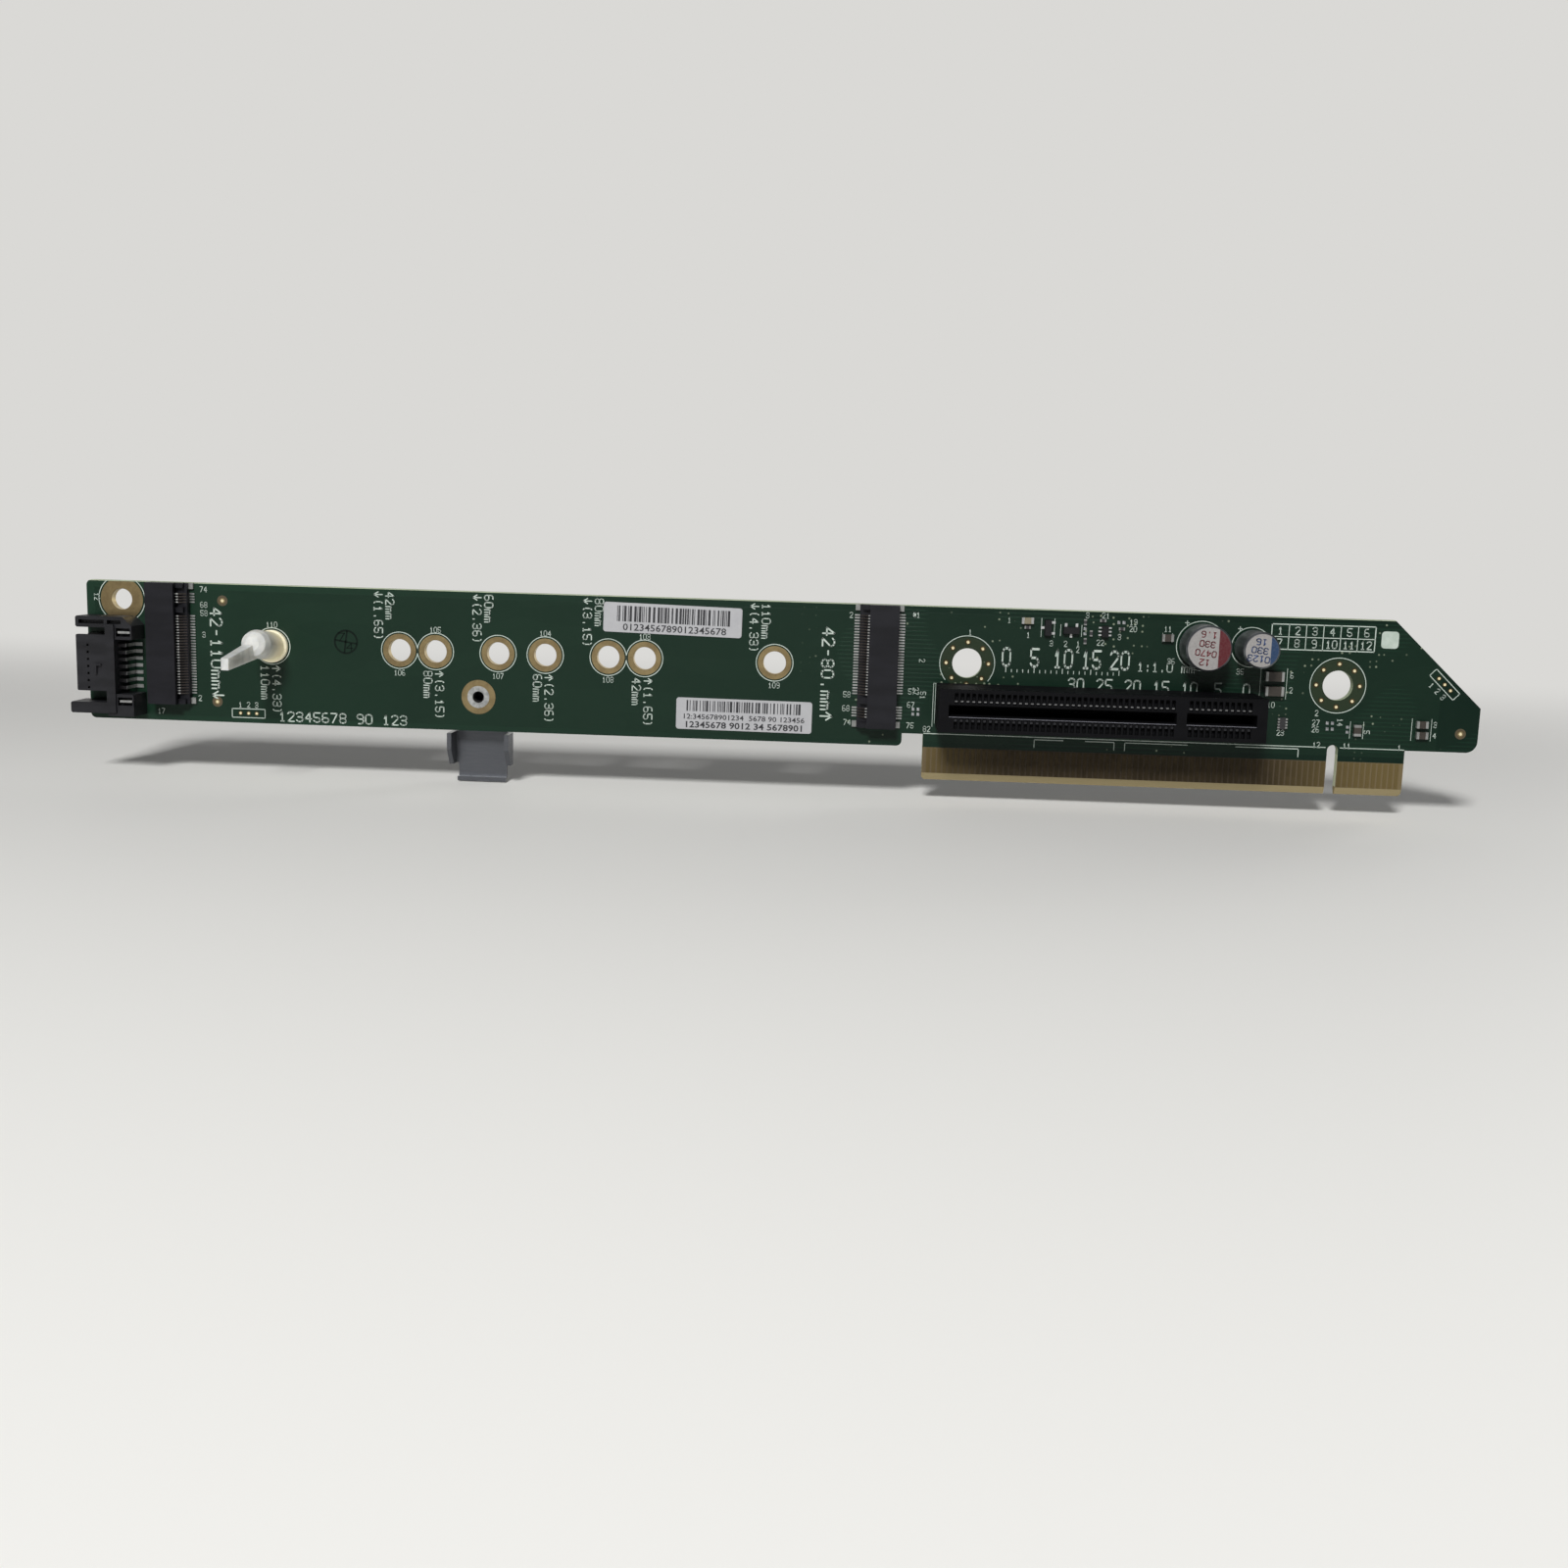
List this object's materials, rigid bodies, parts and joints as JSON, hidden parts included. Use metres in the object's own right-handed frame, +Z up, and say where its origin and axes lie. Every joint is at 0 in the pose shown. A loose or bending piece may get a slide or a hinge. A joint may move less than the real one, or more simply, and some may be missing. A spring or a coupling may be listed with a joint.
{
  "type": "riser card",
  "caption": "Upright riser card: long green circuit board with a keyed gold card edge, a card slot, two facing module sockets, a data socket, a nylon standoff and a folded bracket.",
  "frame": {"origin": "centre of the key notch on the lower line of the card edge, in the middle of the board's thickness", "axes": "+X along the card towards its short, sloped end, +Z up from the card edge, -Y out of the component side"},
  "size_m": [0.2513, 0.0262, 0.0349],
  "materials": {
    "board": "solder mask on fibreglass",
    "gold": "thin gold on copper",
    "black_moulding": "moulded",
    "tin": "tinned, dull",
    "nylon": "translucent",
    "bracket": "dark zinc",
    "steel": "turned",
    "can": "satin",
    "seal": "matte",
    "lens": "clear",
    "chip": "moulded",
    "ceramic": "fired",
    "resistor": "fired",
    "paper": "matte"
  },
  "bodies": {
    "root": {"circuit_board": "board", "edge_contacts_front": "gold", "edge_contacts_back": "gold", "slot_housing": "black_moulding", "slot_contacts": "tin", "right_socket_housing": "black_moulding", "left_socket_housing": "black_moulding", "right_socket_contacts": "tin", "left_socket_contacts": "tin", "right_socket_anchors": "tin", "left_socket_anchors": "tin", "data_socket_housing": "black_moulding", "data_socket_contacts": "tin", "data_socket_anchors": "tin", "module_standoff": "nylon", "support_bracket": "bracket", "bracket_standoff": "steel", "large_capacitor_can": "can", "small_capacitor_can": "can", "large_capacitor_seal": "seal", "small_capacitor_seal": "seal", "indicator_lens": "lens", "indicator_terminals": "tin", "transistor_bodies": "chip", "transistor_leads": "tin", "logic_chip_body": "chip", "logic_chip_leads": "tin", "ceramic_capacitor_bodies": "ceramic", "ceramic_capacitor_terminals": "tin", "resistor_array_body": "resistor", "resistor_array_terminals": "tin", "chip_resistor_bodies": "resistor", "chip_resistor_terminals": "tin", "upper_label": "paper", "lower_label": "paper"}
  },
  "joints": []
}
